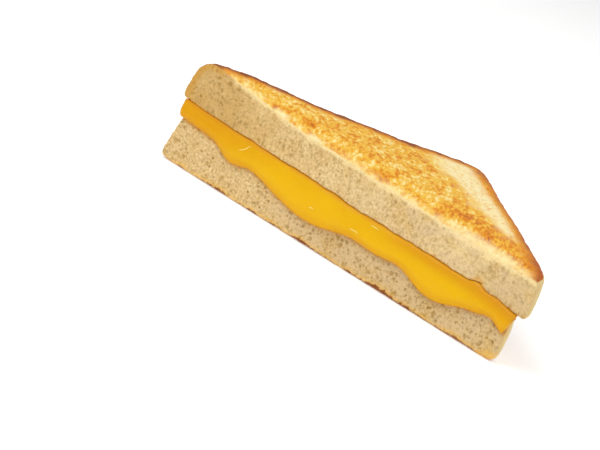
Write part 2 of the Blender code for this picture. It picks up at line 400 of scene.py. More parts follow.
@dataclass(frozen=True)
class BreadFinish:
    """Crumb, toast and crust of one slice."""

    name: str
    side: Side
    crumb: Colour = tint(218, 187, 130)
    crumb_light: Colour = tint(236, 211, 160)
    # Painted shade, for the pores and for parts of the cut.
    crumb_shade: Colour = tint(168, 132, 66)
    crumb_warm: Colour = tint(204, 162, 90)
    crumb_cool: Colour = tint(219, 192, 147)
    gold: Colour = tint(241, 188, 60)
    cream: Colour = tint(251, 227, 150)
    pale: Colour = tint(253, 235, 182)
    brown: Colour = tint(226, 138, 14)
    dark: Colour = tint(132, 60, 20)
    rust: Colour = tint(172, 84, 30)
    crust: Colour = tint(172, 104, 52)
    crust_dark: Colour = tint(120, 60, 25)
    crust_gold: Colour = tint(214, 160, 84)
    crust_brown: Colour = tint(202, 148, 56)
    crust_pale: Colour = tint(230, 208, 154)
    # Cheese soaks into the bread, and this tint also paints shadow along the cheese.
    soak_and_shadow: Colour = tint(214, 152, 56)
    fringe: Colour = tint(250, 226, 164)
    right_wall: float = 41.0
    left_wall: float = -81.4
    left_top: float = 40.8
    strip_corner: float = 8.0
    white_start: float = -39.0
    white_step: float = 17.0

    def crumb_colour(self, graph: Graph, place: Value) -> Value:
        """The cut crumb: beige walls round pores that are darkened with painted shade, with a little painted
        shade on parts of the cut.

        Args:
            graph: The material's graph.
            place: Where, in millimetres.

        Returns:
            The colour.
        """
        x, _, _ = parts(place)
        cloud = noise(place, 9.0, 2.0, 0.5, 3.0)
        grain = noise(stretched(place, 1.0, 3.0, 1.0), 1.0, 2.0, 0.6, 5.0)
        walls = graph.blend(0.9 * smooth(0.46, 0.64, grain), self.crumb, self.crumb_light)
        warm = smooth(0.30, 0.75, cloud) * 0.35
        if self.side is Side.UPPER:
            warm = warm + 0.55 * smooth(-20.0, -60.0, x)
        walls = graph.blend(clamp(warm), walls, self.crumb_warm)
        cool = smooth(-10.0, 40.0, x) * smooth(0.62, 0.42, cloud)
        if self.side is Side.LOWER:
            cool = smooth(-44.0, -8.0, x) * smooth(0.72, 0.46, cloud)
        walls = graph.blend(0.8 * cool, walls, self.crumb_cool)
        # Painted shade darkens parts of the cut a little.
        painted_shade = smooth(-30.0, 0.0, x)
        if self.side is Side.UPPER:
            painted_shade = most(smooth(-44.0, -60.0, x), smooth(50.0, 62.0, x))
        walls = graph.blend(0.14 * painted_shade, walls, self.crumb_shade)
        # The pores get painted shade, stronger towards the left on the upper slice and towards the right on
        # the lower.
        large, small = crumb_pores(place)
        holes = 0.54 * large + 0.46 * small + 0.35 * smooth(0.48, 0.34, grain)
        pore_shade_gain = smooth(0.0, -50.0, x) if self.side is Side.UPPER else smooth(-50.0, 0.0, x)
        holes = holes * (1.0 + 0.4 * pore_shade_gain)
        if self.side is Side.UPPER:
            holes = 0.84 * holes
        return graph.blend(clamp(holes * (0.5 + 0.6 * cloud)), walls, self.crumb_shade)

    def toast_colour(self, graph: Graph, place: Value, rim: Value) -> Value:
        """The browned face: mottled gold with pale places and a dark rim.

        Args:
            graph: The material's graph.
            place: Where, in millimetres.
            rim: How far inside the crust, in millimetres.

        Returns:
            The colour.
        """
        x, y, _ = parts(place)
        brushed = turned(place, 30.0, 2.4)
        fleck = noise(brushed, 1.3, 4.0, 0.56, 1.0)
        grain = noise(brushed, 0.6, 2.0, 0.6, 8.0)
        patch = noise(place, 10.0, 3.0, 0.55, 2.0)
        streak = noise(brushed, 3.2, 3.0, 0.6, 4.0)
        # Pale in a strip along the right crust that widens towards the square corner.
        from_right = math.sqrt(0.5) * (self.right_wall - x - y)
        strip_width = 20.0 - 0.235 * x + 18.0 * (patch - 0.5) + 16.0 * (fleck - 0.5) + 7.0 * (streak - 0.5)
        pale = smooth(3.4, -3.4, from_right - strip_width) * smooth(1.4, 4.4, rim)
        pale = pale * smooth(-16.0, -3.0, x) * smooth(60.0, 50.0, x)
        # Brownest in a streak that nears the cut towards its right end.
        streak_middle = -27.0 - 0.28 * most(x - 46.0, 0.0) + 6.0 * (patch - 0.5)
        streak_half = 7.2 - 0.17 * (x - 48.0)
        hot = smooth(2.5, -2.5, abs(y - streak_middle) - streak_half) * smooth(28.0, 42.0, x)
        middle = smooth(-70.0, -30.0, x) * smooth(26.0, 4.0, y)
        heat = 1.02 * fleck + 0.84 * streak + 0.42 * patch - 0.525
        heat = heat + 0.14 * hot + 0.03 * middle - 0.12 * pale
        light = graph.blend(smooth(0.61, 0.43, heat), self.gold, self.cream)
        colour = graph.blend(smooth(0.62, 0.83, heat), light, self.brown)
        cores = smooth(0.80, 1.04, heat + 0.24 * (grain - 0.5))
        colour = graph.blend(0.75 * cores, colour, self.rust)
        colour = graph.blend(pale * clamp(1.95 - 2.4 * fleck), colour, self.pale)
        colour = self.toast_by_cut(graph, place, colour)
        # The rim is browned most where the pan touched the crust, and more on the left than on the right.
        right = smooth(-4.0, 8.0, x)
        end = smooth(40.0, 76.0, x)
        strength = 1.0 - 0.1 * right * (1.0 - end)
        wander = 6.0 * (patch - 0.5) + 4.0 * (fleck - 0.5) + 4.0 * (streak - 0.5)
        ragged = rim - 1.2 + wander + (4.6 - 1.2 * end) * smooth(-52.0, 22.0, x)
        warm = smooth(9.4, 3.0, ragged) * strength * (1.0 - 0.25 * end)
        colour = graph.blend(0.72 * warm, colour, self.brown)
        scorched = smooth(6.4, 2.6, ragged) * strength
        colour = graph.blend(0.55 * scorched, colour, self.rust)
        burnt = smooth(4.2, 1.2, ragged) * strength
        return graph.blend(0.88 * burnt, colour, graph.blend(right, self.dark, self.rust))

    def toast_by_cut(self, graph: Graph, place: Value, colour: Value) -> Value:
        """Adds what the toasted face shows beside the cut: cream and white patches, or a scorched line.

        Args:
            graph: The material's graph.
            place: Where, in millimetres.
            colour: The toast's colour so far.

        Returns:
            The colour.
        """
        x, y, _ = parts(place)
        rough = noise(place, 4.0, 3.0, 0.6, 14.0) - 0.5
        from_cut = y - CUT_PLANE_Y + 2.4 * rough
        if self.side is Side.LOWER:
            return graph.blend(0.8 * smooth(2.6, 0.8, from_cut), colour, self.dark)
        patches = 0.35 + 0.65 * smooth(0.42, 0.60, noise(place, 8.0, 2.0, 0.5, 15.0))
        wide = smooth(30.0, 48.0, x) * smooth(78.0, 66.0, x)
        grain = noise(turned(place, 30.0, 2.4), 1.2, 4.0, 0.66, 16.0) - 0.5
        patches = most(patches * (0.35 + 0.65 * smooth(-30.0, 5.0, x)), 0.85 * wide)
        patches = patches * smooth(5.2, 0.6, from_cut + 9.0 * grain - 1.6 * wide)
        pale = graph.blend(0.35 + 0.45 * wide, self.cream, self.pale)
        colour = graph.blend(clamp(patches * (0.86 + 2.0 * grain)), colour, pale)
        # White patches follow one another at the left, beside the cut.
        beat = graph.math("COSINE", (x - self.white_start) * (2.0 * math.pi / self.white_step))
        white = smooth(-0.2, 0.9, beat + 3.0 * rough) * smooth(-12.0, -18.0, x)
        white = white * smooth(-66.0, -60.0, x) * smooth(4.0, 1.0, from_cut + 3.4 * grain)
        return graph.blend(white * (0.85 - 0.55 * smooth(-44.0, -50.0, x)), colour, self.pale)

    def crust_colour(self, graph: Graph, place: Value) -> Value:
        """The crust round the slice, brown in the middle of each side and pale at the cut's ends.

        Args:
            graph: The material's graph.
            place: Where, in millimetres.

        Returns:
            The colour.
        """
        x, y, _ = parts(place)
        upright = stretched(place, 1.0, 1.0, 4.0)
        streak = noise(upright, 2.4, 4.0, 0.6, 6.0)
        cloud = noise(place, 9.0, 2.0, 0.5, 7.0)
        speck = noise(place, 1.2, 3.0, 0.6, 18.0)
        lighter = smooth(0.28, 0.72, 0.6 * streak + 0.4 * speck)
        colour = graph.blend(lighter, self.crust_dark, self.crust)
        colour = graph.blend(0.4 * smooth(0.45, 0.85, cloud), colour, self.crust_gold)
        ends = abs(x) + 16.0 * (cloud - 0.5) + 18.0 * (streak - 0.5)
        colour = graph.blend(0.8 * smooth(44.0, 70.0, ends), colour, self.crust_gold)
        colour = graph.blend(smooth(58.0, 80.0, ends), colour, self.crust_pale)
        grain = noise(place, 1.1, 3.0, 0.6, 17.0)
        grains = smooth(0.50, 0.68, grain) * smooth(62.0, 72.0, abs(x))
        colour = graph.blend(0.2 * grains, colour, self.crumb_warm)
        # The pale wall turns into crumb at the cut.
        by_cut = smooth(5.0, 0.5, y - CUT_PLANE_Y + 3.0 * (grain - 0.5))
        return graph.blend(0.7 * by_cut, colour, graph.blend(0.4, self.crumb, self.crumb_warm))

    def build(self) -> Material:
        """Makes the material, with crumb, toast and crust set by the mesh's own masks.

        Returns:
            The material.
        """
        material, graph, shader = new_material(self.name)
        place = place_in_mm(graph)
        crumb = attribute(graph, "crumb")
        toast = attribute(graph, "toast")
        rim = attribute(graph, "rim")
        cheese = attribute(graph, "cheese_gap")
        edge = noise(place, 1.1, 3.0, 0.6, 9.0) - 0.5
        crumb_share = smooth(0.30, 0.70, crumb + 0.9 * edge)
        x, _, _ = parts(place)
        tip = 0.3 * smooth(66.0, 78.0, x)
        toast_share = smooth(0.35, 0.65, toast + crumb + 0.5 * edge - tip)
        crumb_colour = self.crumb_colour(graph, place)
        toast_colour = self.toast_colour(graph, place, rim)
        colour = graph.blend(toast_share, self.crust_colour(graph, place), toast_colour)
        inside = smooth(0.35, 0.65, attribute(graph, "inside"))
        colour = graph.blend(inside, colour, crumb_colour)
        colour = graph.blend(crumb_share, colour, crumb_colour)
        colour = self.cut_edge(graph, place, colour, crumb)
        # Cheese soaks into the bread that it touches, and the same tint is painted shadow along the edges of
        # the cheese.
        near = smooth(1.9, 0.3, cheese + 1.8 * edge)
        colour = graph.blend(0.72 * near, colour, self.soak_and_shadow)
        pits = pores(place, 1.25, 0.52, 11.0) + 0.5 * pores(place, 0.7, 0.5, 23.0)
        crumb_height = 0.35 * noise(place, 0.6, 3.0, 0.6) - 0.55 * pits
        toast_height = 0.6 * noise(place, 1.5, 4.0, 0.62, 1.0) + 0.25 * noise(place, 0.5, 2.0)
        height = toast_height + crumb_share * (crumb_height - toast_height)
        bump = {"Strength": 0.7, "Distance": 0.7 * MM, "Height": height}
        surface = {
            "Base Color": colour,
            "Roughness": 0.86 - 0.26 * toast_share * noise(place, 3.0),
            "Specular IOR Level": 0.3,
            "Subsurface Weight": 0.12,
            "Subsurface Radius": (1.0, 0.6, 0.3),
            "Subsurface Scale": 0.8 * MM,
            "Normal": graph.value("ShaderNodeBump", None, bump),
        }
        graph.feed(shader, surface)
        return material

    def cut_edge(self, graph: Graph, place: Value, colour: Value, crumb: Value) -> Value:
        """Adds what shows on the cut where it meets the toasted face.

        Args:
            graph: The material's graph.
            place: Where, in millimetres.
            colour: The colour so far.
            crumb: The cut face's mask.

        Returns:
            The colour with the edge of the toast.
        """
        x, y, z = parts(place)
        ragged = noise(place, 1.3, 3.0, 0.65, 12.0) - 0.5
        slow = noise(place, 8.0, 2.0, 0.5, 13.0) - 0.5
        if self.side is Side.UPPER:
            # The crust shows as a golden strip at the thick left end, round the corner of the slice.
            from_wall = most(self.strip_corner - (x - self.left_wall) + 0.1 * (z - 24.0), 0.0)
            from_top = most(self.strip_corner - (self.left_top - z), 0.0)
            depth = self.strip_corner - graph.math("SQRT", from_wall * from_wall + from_top * from_top)
            strip = smooth(4.4, 1.2, depth + 2.4 * ragged + 1.8 * slow)
            strip = strip * smooth(-66.0, -70.0, x)
            colour = graph.blend(0.8 * strip * crumb, colour, self.crust_brown)
            # Pale colour runs over the edge of the toast from the cut, in a ragged fringe.
            wide = smooth(30.0, 48.0, x) * smooth(80.0, 70.0, x)
            reach = attribute(graph, "toast_fade") + 0.55 * ragged + 0.5 * slow + 0.08 * wide
            fringe = smooth(0.0, 0.34, reach) * smooth(-68.0, -60.0, x)
            return graph.blend(0.72 * fringe * smooth(0.1, 0.4, crumb), colour, self.fringe)
        scorch = smooth(18.0, 26.0, x) * smooth(34.0, 28.0, x)
        gold_end = smooth(69.0, 76.0, x)
        reach = 0.35 + 3.4 * slow + 2.6 * ragged + 1.1 * scorch - 0.8 * gold_end
        near_cut = smooth(2.2, 1.2, y - CUT_PLANE_Y)
        browned = smooth(0.35, -0.3, z - reach) * near_cut
        golden = smooth(1.6, -0.8, z - reach - 0.5 - 3.0 * gold_end) * near_cut
        colour = graph.blend(0.5 * golden, colour, self.gold)
        return graph.blend(0.9 * browned, colour, self.dark)


@dataclass(frozen=True)
class CheeseFinish:
    """Melted cheese: deep yellow, more orange towards its ends, with painted shade in orange under the upper
    slice and where it faces down.
    """

    name: str = "melted_cheese"
    yellow: Colour = tint(229, 179, 0)
    orange: Colour = tint(216, 154, 2)
    seam: Colour = tint(206, 134, 14)

    def build(self) -> Material:
        """Makes the material.

        Returns:
            The material.
        """
        material, graph, shader = new_material(self.name)
        place = place_in_mm(graph)
        x, _, z = parts(place)
        cloud = noise(place, 14.0, 2.0, 0.5, 1.0) - 0.5
        fine = noise(place, 1.6, 3.0, 0.6, 2.0) - 0.5
        gap = attribute(graph, "bread_gap")
        left = smooth(-30.0, -62.0, x)
        right = smooth(52.0, 74.0, x)
        # Towards the top the orange is painted shade under the upper slice.
        high = smooth(15.0, 21.0, z + 3.0 * cloud)
        orange = clamp(0.55 * left + 0.45 * right + 0.35 * high + 0.9 * cloud + 0.4 * fine)
        colour = graph.blend(orange, self.yellow, self.orange)
        # Painted shade under the upper slice: a wider strip, and a thin line at the seam that is partly a
        # real soak mark.
        strip = smooth(6.5, 1.2, gap + 3.2 * cloud) * smooth(8.0, 34.0, x)
        near = smooth(1.9, 0.4, gap + 1.2 * fine)
        colour = graph.blend(most(0.7 * near, 0.6 * strip), colour, self.seam)
        # Painted shade where the cheese faces down.
        colour = graph.blend(0.6 * attribute(graph, "lip"), colour, self.seam)
        height = noise(place, 5.0, 2.0, 0.5, 5.0) + 0.12 * noise(place, 1.1, 2.0)
        bump = {"Strength": 0.5, "Distance": 0.8 * MM, "Height": height}
        surface = {
            "Base Color": colour,
            "Roughness": 0.38 + 0.25 * fine + 0.2 * cloud,
            "Specular IOR Level": 0.17,
            "Subsurface Weight": 0.3,
            "Subsurface Radius": (1.0, 0.55, 0.1),
            "Subsurface Scale": 2.0 * MM,
            "Normal": graph.value("ShaderNodeBump", None, bump),
        }
        graph.feed(shader, surface)
        return material


@dataclass(frozen=True)
class CrumbFinish:
    """Loose crumbs of toast."""

    name: str = "toast_crumbs"
    gold: Colour = tint(232, 178, 92)
    brown: Colour = tint(204, 142, 66)

    def build(self) -> Material:
        """Makes the material.

        Returns:
            The material.
        """
        material, graph, shader = new_material(self.name)
        place = place_in_mm(graph)
        colour = graph.blend(smooth(0.4, 0.6, noise(place, 1.2, 2.0)), self.gold, self.brown)
        graph.feed(shader, {"Base Color": colour, "Roughness": 0.85})
        return material


@dataclass(frozen=True)
class TableFinish:
    """The plain pale surface under the food."""

    name: str = "pale_table"
    white: Colour = (0.92, 0.92, 0.92, 1.0)
    glow: float = 0.36

    def build(self) -> Material:
        """Makes the material.

        Returns:
            The material.
        """
        material, graph, shader = new_material(self.name)
        surface = {
            "Base Color": self.white,
            "Emission Color": self.white,
            "Emission Strength": self.glow,
            "Roughness": 0.7,
            "Specular IOR Level": 0.1,
        }
        graph.feed(shader, surface)
        return material


class GeometryTree:
    """A Geometry Nodes tree with named inputs that ends in Realize Instances and Set Material."""

    def __init__(self, name: str) -> None:
        """Starts the tree with a mesh input and a mesh output."""
        self.tree = bpy.data.node_groups.new(name, "GeometryNodeTree")
        self.graph = Graph(self.tree)
        self.values: dict[str, Any] = {}
        for way in ("INPUT", "OUTPUT"):
            self.tree.interface.new_socket(name="Mesh", in_out=way, socket_type="NodeSocketGeometry")
        self.entry = self.graph.node("NodeGroupInput")
        self.mesh = self.entry.outputs["Mesh"]

    def named_input(self, name: str, value: Any, kind: str = "NodeSocketFloat") -> Value:
        """Adds an input, with what the tree is baked with.

        Args:
            name: The input's name.
            value: The number, object or material that goes in.
            kind: Blender's socket type.

        Returns:
            The input's value inside the tree.
        """
        made = self.tree.interface.new_socket(name=name, in_out="INPUT", socket_type=kind)
        self.values[made.identifier] = value
        return Value(self.graph, self.entry.outputs[name])

    def store(self, mesh: Input, name: str, number: Input) -> NodeSocket:
        """Keeps a number on the mesh's points under a name, and returns the mesh."""
        node = self.graph.node(
            "GeometryNodeStoreNamedAttribute",
            {"data_type": "FLOAT", "domain": "POINT"},
            {"Geometry": mesh, "Name": name, "Value": number},
        )
        return node.outputs["Geometry"]

    def gap(self, other: Value) -> Value:
        """How far each point is from the faces of another object, in millimetres."""
        faces = {"Geometry": self.graph.value("GeometryNodeObjectInfo", None, {"Object": other}, "Geometry")}
        nearest = self.graph.value("GeometryNodeProximity", {"target_element": "FACES"}, faces, "Distance")
        return MM_PER_METRE * nearest

    def finish(self, mesh: Input, material: Value) -> None:
        """Ends the tree: real geometry, smooth shading and the material.

        Args:
            mesh: The geometry so far.
            material: The material's input.
        """
        graph = self.graph
        real = graph.value("GeometryNodeRealizeInstances", None, {"Geometry": mesh})
        shaded = graph.value("GeometryNodeSetShadeSmooth", None, {"Geometry": real})
        dressed = graph.value("GeometryNodeSetMaterial", None, {"Geometry": shaded, "Material": material})
        graph.node("NodeGroupOutput", None, {"Mesh": dressed})

    def bake(self, piece: Object) -> Object:
        """Runs the tree on a piece and keeps the result as its plain mesh.

        Args:
            piece: The object whose mesh goes in.

        Returns:
            The same object with the new mesh.
        """
        modifier = piece.modifiers.new(self.tree.name, "NODES")
        modifier.node_group = self.tree
        for identifier, value in self.values.items():
            modifier[identifier] = value
        return keep_evaluated(piece)


def keep_evaluated(piece: Object) -> Object:
    """Replaces a piece's mesh by the one that its modifiers make, and removes them.

    Args:
        piece: The object.

    Returns:
        The same object.
    """
    bpy.context.view_layer.update()
    evaluated = piece.evaluated_get(bpy.context.evaluated_depsgraph_get())
    mesh = bpy.data.meshes.new_from_object(evaluated)
    mesh.name = piece.name
    piece.modifiers.clear()
    piece.data = mesh
    return piece


def placed(name: str, data: bpy.types.ID) -> Object:
    """Makes an object and puts it into the scene.

    Args:
        name: The object's name.
        data: Its mesh, curve, lamp or camera.

    Returns:
        The object, at the origin.
    """
    made = bpy.data.objects.new(name, data)
    bpy.context.scene.collection.objects.link(made)
    return made


def rounded_copy(frame: Mapping[str, Any], node: str) -> Object:
    """Copies a CAD node's mesh, joins its loose triangles and rounds it by subdivision.

    Args:
        frame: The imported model.
        node: The CAD node's name.

    Returns:
        The new object, at the origin.
    """
    bm = bmesh.new()
    bm.from_mesh(frame["nodes"][node].data)
    bmesh.ops.remove_doubles(bm, verts=bm.verts, dist=WELD_DISTANCE)
    bmesh.ops.join_triangles(
        bm, faces=bm.faces, angle_face_threshold=FLAT_ANGLE, angle_shape_threshold=SHAPE_ANGLE
    )
    crease = bm.edges.layers.float.new("crease_edge")
    for edge in bm.edges:
        if len(edge.link_faces) == 2 and edge.calc_face_angle() > SHARP_ANGLE:
            edge[crease] = CREASE
    mesh = bpy.data.meshes.new(node + "_dressed")
    bm.to_mesh(mesh)
    bm.free()
    piece = placed(mesh.name, mesh)
    modifier = piece.modifiers.new("round", "SUBSURF")
    modifier.levels = ROUNDING_LEVELS
    modifier.render_levels = ROUNDING_LEVELS
    return keep_evaluated(piece)


@dataclass
class BreadRelief:
    """The uneven surface of a slice: pores on the cut, blisters on the toast, wrinkles in the crust."""

    side: Side
    corner_radius: float
    middle_x: float
    middle_y: float
    edge_radius: tuple[float, float]
    slice_side: float = 119.0
    cut_length: float = 168.0
    pore_size: float = PORE_STEP
    pore_depth: float = 0.38
    toast_depth: float = 0.35
    crust_depth: float = 0.5
    corner_fill: float = 0.0
    closing: float = 0.15

    def masks(self, tree: GeometryTree, sign: Value) -> dict[str, Value]:
        """Which part of the slice each point belongs to, from its place and the way it faces.

        Args:
            tree: The tree that the masks are built in.
            sign: 1 where the toasted face looks up and -1 where it looks down.

        Returns:
            The masks by name: crumb, toast, inside, crust and toast_fade, which runs on past the edge.
        """
        graph = tree.graph
        normal = graph.value("GeometryNodeInputNormal")
        _, facing_y, facing_z = parts(normal)
        _, y, _ = parts(point_in_mm(graph))
        outward = facing_z * sign
        crumb = smooth(-0.62, -0.85, facing_y) * smooth(1.6, 0.8, y - CUT_PLANE_Y)
        toast = smooth(0.50, 0.80, outward) * (1.0 - crumb)
        inside = smooth(-0.30, -0.70, outward) * (1.0 - crumb)

        def softened(mask: Value, rounds: int = 2) -> Value:
            """Spreads a mask's edge over a few points of the mesh."""
            inputs = {"Value": mask, "Iterations": rounds}
            return graph.value("GeometryNodeBlurAttribute", {"data_type": "FLOAT"}, inputs)

        fade = softened(toast, 26)
        crumb, toast, inside = softened(crumb), softened(toast), softened(inside)
        crust = clamp(1.0 - crumb - toast - inside)
        return {"crumb": crumb, "toast": toast, "inside": inside, "crust": crust, "toast_fade": fade}

    def rim(self, tree: GeometryTree, x: Value, y: Value) -> Value:
        """How far a point lies inside the flat of the toasted face.

        Args:
            tree: The tree that this is built in.
            x: The point's X from the middle of the slice, in millimetres.
            y: Its Y from there.

        Returns:
            The millimetres to the round edge, or less than 0 on that edge.
        """
        graph = tree.graph
        left, right = self.edge_radius
        edge = 0.5 * (left + right) + (right - left) / self.cut_length * x
        reach = self.slice_side / 2 - self.corner_radius
        half = 1 / math.sqrt(2)
        across = abs(half * (x + y)) - reach
        along = abs(half * (y - x)) - reach
        beyond_across, beyond_along = most(across, 0.0), most(along, 0.0)
        outside = graph.math("SQRT", beyond_across * beyond_across + beyond_along * beyond_along)
        return self.corner_radius - outside - least(most(across, along), 0.0) - edge

    def build(self, name: str, cheese: Object, material: Material) -> GeometryTree:
        """Makes the tree.

        Args:
            name: The tree's name.
            cheese: The dressed cheese.
            material: The slice's material.

        Returns:
            The tree, ready to bake.
        """
        tree = GeometryTree(name)
        graph = tree.graph
        sign = tree.named_input("Toast Faces Up", float(self.side.value))
        pore_size = tree.named_input("Pore Size", self.pore_size)
        pore_depth = tree.named_input("Pore Depth", self.pore_depth)
        toast_depth = tree.named_input("Toast Depth", self.toast_depth)
        crust_depth = tree.named_input("Crust Depth", self.crust_depth)
        layer = tree.named_input("Cheese", cheese, "NodeSocketObject")
        skin = tree.named_input("Material", material, "NodeSocketMaterial")

        place = point_in_mm(graph)
        x, y, z = parts(place)
        masks = self.masks(tree, sign)
        mesh: Input = tree.mesh
        for key in ("crumb", "toast", "inside", "toast_fade"):
            mesh = tree.store(mesh, key, masks[key])
        rim = self.rim(tree, x - self.middle_x, y - self.middle_y)
        mesh = tree.store(mesh, "rim", rim)
        gap = tree.gap(layer)
        mesh = tree.store(mesh, "cheese_gap", gap)

        relative = graph.vector("SCALE", place, graph.math("DIVIDE", PORE_STEP, pore_size))
        holes, lesser = crumb_pores(relative)
        torn = noise(place, 4.5, 3.0, 0.6, 31.0) - 0.5
        crumb_rise = -pore_depth * (holes + 0.45 * lesser) + 0.5 * torn
        blisters = noise(place, 3.4, 3.0, 0.55, 17.0) - 0.56
        pits = pores(place, 2.6, 0.42, 37.0)
        lumps = (noise(place, 5.5, 2.0, 0.6, 43.0) - 0.5) * smooth(6.0, 0.5, rim)
        toast_rise = toast_depth * (1.7 * blisters - 0.55 * pits + 2.4 * lumps)
        upright = stretched(place, 1.0, 1.0, 3.0)
        wrinkles = noise(upright, 3.2, 3.0, 0.6, 19.0) - 0.5
        dents = noise(place, 16.0, 1.0, 0.5, 21.0) - 0.5
        crust_rise = crust_depth * (0.9 * wrinkles + 1.6 * dents)
        rise = masks["crumb"] * crumb_rise + masks["toast"] * toast_rise + masks["crust"] * crust_rise
        floor = smooth(-0.4, 1.4, z)
        kept_low = least(rise, 0.05) * (1.0 - floor) + rise * floor
        normal = graph.value("GeometryNodeInputNormal")
        offset = graph.vector("SCALE", normal, MM * kept_low)
        # The square corner of the toasted face is fuller than the rest of its rounded edge.
        corner = self.corner_fill * MM * smooth(-4.0, 42.0, y) * smooth(5.0, -1.0, rim)
        fuller = graph.xyz(y=corner, z=0.5 * corner)
        # The edge of the crumb that lies on the cheese is ragged.
        hem = 2.2 * (noise(place, 3.0, 3.0, 0.6, 47.0) - 0.5) * smooth(3.2, 1.0, gap)
        hem = hem * masks["crumb"] * smooth(3.0, 6.0, z) * sign
        if self.side is Side.UPPER:
            # The upper slice's edge follows the cheese down the cut.
            slide, edge_slide = cheese_slide(place)
            near = smooth(5.0, 2.0, gap) * smooth(3.0, 1.0, y - CUT_PLANE_Y)
            hem = hem - (slide + edge_slide + self.closing) * near
        ragged = graph.xyz(z=MM * hem)
        moves = graph.vector("ADD", graph.vector("ADD", offset, ragged), fuller)
        moved = graph.value("GeometryNodeSetPosition", None, {"Geometry": mesh, "Offset": moves})
        tree.finish(moved, skin)
        return tree


@dataclass
class BreadSlice:
    """One half slice of toasted bread."""

    node: str
    finish: BreadFinish
    relief: BreadRelief
    fineness: float = 0.5 * MM

    def build(self, frame: Mapping[str, Any], cheese: Object) -> Object:
        """Makes the slice over its CAD node.

        Args:
            frame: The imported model.
            cheese: The dressed cheese, which stains the bread near it.

        Returns:
            The slice.
        """
        piece = rounded_copy(frame, self.node)
        even = piece.modifiers.new("even", "REMESH")
        even.mode = "VOXEL"
        even.voxel_size = self.fineness
        keep_evaluated(piece)
        self.relief.build(self.node + "_relief", cheese, self.finish.build()).bake(piece)
        dress(piece, self.node)
        return piece


@dataclass
class CheeseLayer:
    """The melted layer and its hanging edge."""

    node: str = "cheese"
    finish: CheeseFinish = field(default_factory=CheeseFinish)
    ripple: float = 0.25
    swell: float = 0.3
    seam: float = 1.0

    def build(self, frame: Mapping[str, Any]) -> Object:
        """Makes the cheese over its CAD node.

        Args:
            frame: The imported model.

        Returns:
            The cheese.
        """
        piece = rounded_copy(frame, self.node)
        tree = GeometryTree("cheese_ripple")
        graph = tree.graph
        ripple = tree.named_input("Ripple", self.ripple)
        swell = tree.named_input("Swell", self.swell)
        seam = tree.named_input("Seam", self.seam)
        slice_above = tree.named_input("Slice Above", frame["nodes"]["bread_top"], "NodeSocketObject")
        material = tree.named_input("Material", self.finish.build(), "NodeSocketMaterial")
        place = point_in_mm(graph)
        _, y, _ = parts(place)
        gap = tree.gap(slice_above)
        mesh = tree.store(tree.mesh, "bread_gap", gap)
        normal = graph.value("GeometryNodeInputNormal")
        _, _, facing_z = parts(normal)
        # Marks where the cheese faces down, for its painted shade.
        mesh = tree.store(mesh, "lip", smooth(0.1, -0.6, facing_z))
        wave = noise(stretched(place, 1.6, 1.0, 1.0), 5.0, 1.0, 0.4, 3.0) - 0.5
        front = smooth(2.0, 0.4, y - CUT_PLANE_Y)
        offset = graph.vector("SCALE", normal, MM * (swell + ripple * 2.0 * wave) * front)
        # The front has slid down, more on the left, and its upper edge is tucked under the bread.
        slide, edge_slide = cheese_slide(place)
        stuck = smooth(1.5, 0.2, gap) * front
        down = slide * front + seam * stuck * edge_slide
        slid = graph.vector("SCALE", graph.xyz(y=0.3, z=-1.0), MM * down)
        moves = graph.vector("ADD", offset, slid)
        moved = graph.value("GeometryNodeSetPosition", None, {"Geometry": mesh, "Offset": moves})
        tree.finish(moved, material)
        tree.bake(piece)
        dress(piece, self.node)
        return piece


@dataclass
class LooseCrumbs:
    """Crumbs of toast that cling to the face of a slice."""

    name: str
    density: float
    size: float = 0.42
    seed: int = 4

    def build(self, host: Object) -> Object:
        """Scatters the crumbs.

        Args:
            host: The slice that they cling to.

        Returns:
            The crumbs, as one mesh.
        """
        piece = placed(self.name, host.data.copy())
        tree = GeometryTree(self.name + "_scatter")
        graph = tree.graph
        density = tree.named_input("Density", self.density)
        size = tree.named_input("Size", self.size)
        seed = tree.named_input("Seed", self.seed, "NodeSocketInt")
        material = tree.named_input("Material", CrumbFinish().build(), "NodeSocketMaterial")
        number = {"data_type": "FLOAT"}
        toast = graph.value("GeometryNodeInputNamedAttribute", number, {"Name": "toast"})
        place = point_in_mm(graph)
        clump = smooth(0.52, 0.66, noise(place, 9.0, 2.0, 0.5, 41.0))
        # Density counts crumbs on a square millimetre, where Blender counts points on a square metre.
        wanted = density * MM_PER_METRE**2 * toast * (0.15 + clump)
        spread = graph.node(
            "GeometryNodeDistributePointsOnFaces",
            {"distribute_method": "RANDOM"},
            {"Mesh": tree.mesh, "Density": wanted, "Seed": seed},
        )
        grain = graph.value("GeometryNodeMeshIcoSphere", None, {"Radius": MM, "Subdivisions": 2})
        lump = noise(place, 0.9, 1.0)
        rough = graph.vector("SCALE", graph.value("GeometryNodeInputNormal"), MM * 1.1 * (lump - 0.5))
        grain = graph.value("GeometryNodeSetPosition", None, {"Geometry": grain, "Offset": rough})
        width = graph.value("FunctionNodeRandomValue", number, {2: 0.35, 3: 1.0, 8: seed}, 1)
        instances = {
            "Points": spread.outputs["Points"],
            "Instance": grain,
            "Rotation": spread.outputs["Rotation"],
            "Scale": graph.xyz(size * width, 0.8 * size * width, 0.6 * size * width),
        }
        tree.finish(graph.value("GeometryNodeInstanceOnPoints", None, instances), material)
        tree.bake(piece)
        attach(piece, "root")
        return piece


